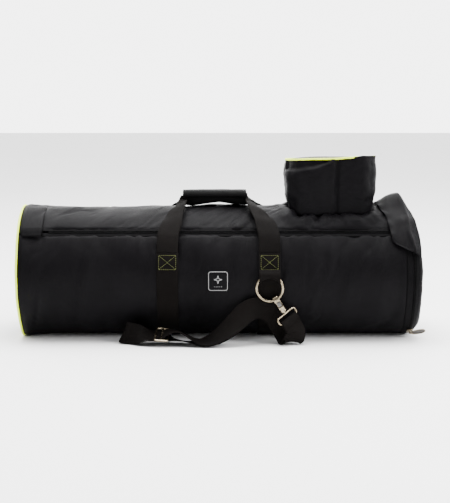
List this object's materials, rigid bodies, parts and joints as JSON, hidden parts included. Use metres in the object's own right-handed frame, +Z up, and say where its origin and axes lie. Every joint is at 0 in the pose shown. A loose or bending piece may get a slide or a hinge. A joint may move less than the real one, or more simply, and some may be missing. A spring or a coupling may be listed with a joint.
{
  "type": "telescope carry case",
  "caption": "Padded cylindrical carry case for a short reflector telescope, with a raised pod, zip lid, carry handles and clip-on shoulder strap.",
  "frame": {"origin": "centre of the case's flattened underside, on the ground", "axes": "+X along the tube towards the end that opens, -Y out of the front with the long zip, +Z up"},
  "size_m": [0.7729, 0.3058, 0.3424],
  "materials": {
    "shell_fabric": "matte",
    "padding": "matte",
    "lining": "matte",
    "webbing": "matte",
    "piping": "satin",
    "zip_tape": "matte",
    "zip_teeth": "satin",
    "nickel": "polished",
    "label": "matte"
  },
  "bodies": {
    "shell": {"outer_shell": "shell_fabric", "body_foam": "padding", "body_lining": "lining", "left_collar": "shell_fabric", "left_collar_foam": "padding", "rear_seam_binding": "webbing", "left_end_cap": "shell_fabric", "left_end_foam": "padding", "left_end_lining": "lining", "left_piping": "piping", "front_zip_tape_lower": "zip_tape", "front_zip_teeth_lower": "zip_teeth", "zip_garage": "zip_tape", "end_zip_tape_body": "zip_tape", "end_zip_teeth_body": "zip_teeth", "left_girth_strap": "webbing", "right_girth_strap": "webbing", "label_patch": "label", "ring_keeper_front": "webbing", "ring_keeper_rear": "webbing", "shoulder_strap": "webbing"},
    "lid": {"lid_shell": "shell_fabric", "lid_foam": "padding", "lid_lining": "lining", "front_zip_tape_upper": "zip_tape", "front_zip_teeth_upper": "zip_teeth", "end_zip_teeth_cap": "zip_teeth", "end_zip_tape_cap": "zip_tape", "right_end_cap": "shell_fabric", "right_end_foam": "padding", "right_end_lining": "lining", "pod_shell": "shell_fabric", "pod_foam": "padding", "pod_lining": "lining", "pod_top": "shell_fabric", "pod_top_foam": "padding", "pod_piping": "piping"},
    "front_handle": {"front_handle_webbing": "webbing", "front_grip_sleeve": "shell_fabric"},
    "rear_handle": {"rear_handle_webbing": "webbing", "rear_grip_sleeve": "shell_fabric", "grip_closure_tab": "shell_fabric"},
    "flap": {"storm_flap": "shell_fabric"},
    "slider": {"zip_slider": "nickel"},
    "pull": {"zip_pull": "nickel"},
    "adjuster": {"adjuster_frame": "nickel"},
    "ring_front": {"ring_front": "nickel"},
    "hook_front": {"hook_body_front": "nickel"},
    "gate_front": {"hook_gate_front": "nickel"},
    "loop_front": {"strap_loop_front": "nickel", "strap_fold_front": "webbing"},
    "ring_rear": {"ring_rear": "nickel"},
    "hook_rear": {"hook_body_rear": "nickel"},
    "gate_rear": {"hook_gate_rear": "nickel"},
    "loop_rear": {"strap_loop_rear": "nickel", "strap_fold_rear": "webbing"}
  },
  "joints": [
    {"name": "lid_hinge", "type": "hinge", "parent": "shell", "child": "lid", "pos_m": [0, 0.09545, 0.20209], "axis": [-1, 0, 0], "range_deg": [0, 65]},
    {"name": "front_handle_fold", "type": "hinge", "parent": "shell", "child": "front_handle", "pos_m": [-0.0041, -0.11675, 0.16776], "axis": [1, 0, 0], "range_deg": [0, 120]},
    {"name": "rear_handle_fold", "type": "hinge", "parent": "shell", "child": "rear_handle", "pos_m": [-0.0041, 0.11675, 0.16776], "axis": [-1, 0, 0], "range_deg": [0, 65]},
    {"name": "storm_flap_lift", "type": "hinge", "parent": "lid", "child": "flap", "pos_m": [0.336, 0.032, 0.24573], "axis": [-1, 0, 0], "range_deg": [0, 100]},
    {"name": "zip_slider_travel", "type": "hinge", "parent": "shell", "child": "slider", "pos_m": [0.36, 0, 0.122], "axis": [-1, 0, 0], "range_deg": [0, 72]},
    {"name": "zip_pull_swing", "type": "hinge", "parent": "slider", "child": "pull", "pos_m": [0.36, -0.0653, 0.0089], "axis": [0, 0.866, -0.5], "range_deg": [0, 95]},
    {"name": "adjuster_slide", "type": "slide", "parent": "shell", "child": "adjuster", "axis": [-1, 0, 0], "range_m": [-0.002, 0.006]},
    {"name": "strap_front_swing", "type": "hinge", "parent": "shell", "child": "loop_front", "pos_m": [0.0906, -0.1316, 0.1307], "axis": [-1, 0, 0], "range_deg": [0, 18]},
    {"name": "ring_front_swing", "type": "hinge", "parent": "shell", "child": "ring_front", "pos_m": [0.0906, -0.1316, 0.1307], "axis": [-1, 0, 0], "range_deg": [0, 18]},
    {"name": "hook_front_swivel", "type": "hinge", "parent": "loop_front", "child": "hook_front", "pos_m": [0.11964, -0.1316, 0.05946], "axis": [0.5446, 0, -0.8387], "range_deg": [-12, 12]},
    {"name": "gate_front_press", "type": "hinge", "parent": "hook_front", "child": "gate_front", "pos_m": [0.10956, -0.1373, 0.07497], "axis": [-0.8387, 0, -0.5446], "range_deg": [0, 18]},
    {"name": "strap_rear_swing", "type": "hinge", "parent": "shell", "child": "loop_rear", "pos_m": [-0.0988, 0.1316, 0.1307], "axis": [1, 0, 0], "range_deg": [0, 18]},
    {"name": "ring_rear_swing", "type": "hinge", "parent": "shell", "child": "ring_rear", "pos_m": [-0.0988, 0.1316, 0.1307], "axis": [1, 0, 0], "range_deg": [0, 18]},
    {"name": "hook_rear_swivel", "type": "hinge", "parent": "loop_rear", "child": "hook_rear", "pos_m": [-0.12404, 0.1316, 0.05736], "axis": [-0.4226, 0, -0.9063], "range_deg": [-12, 12]},
    {"name": "gate_rear_press", "type": "hinge", "parent": "hook_rear", "child": "gate_rear", "pos_m": [-0.11622, 0.1373, 0.07412], "axis": [0.9063, 0, -0.4226], "range_deg": [0, 18]}
  ],
  "couplings": [
    {"joint": "front_handle_fold", "follows": "lid_hinge", "ratio": 1.8},
    {"joint": "rear_handle_fold", "follows": "lid_hinge", "ratio": 1},
    {"joint": "ring_front_swing", "follows": "strap_front_swing", "ratio": 1},
    {"joint": "ring_rear_swing", "follows": "strap_rear_swing", "ratio": 1}
  ]
}
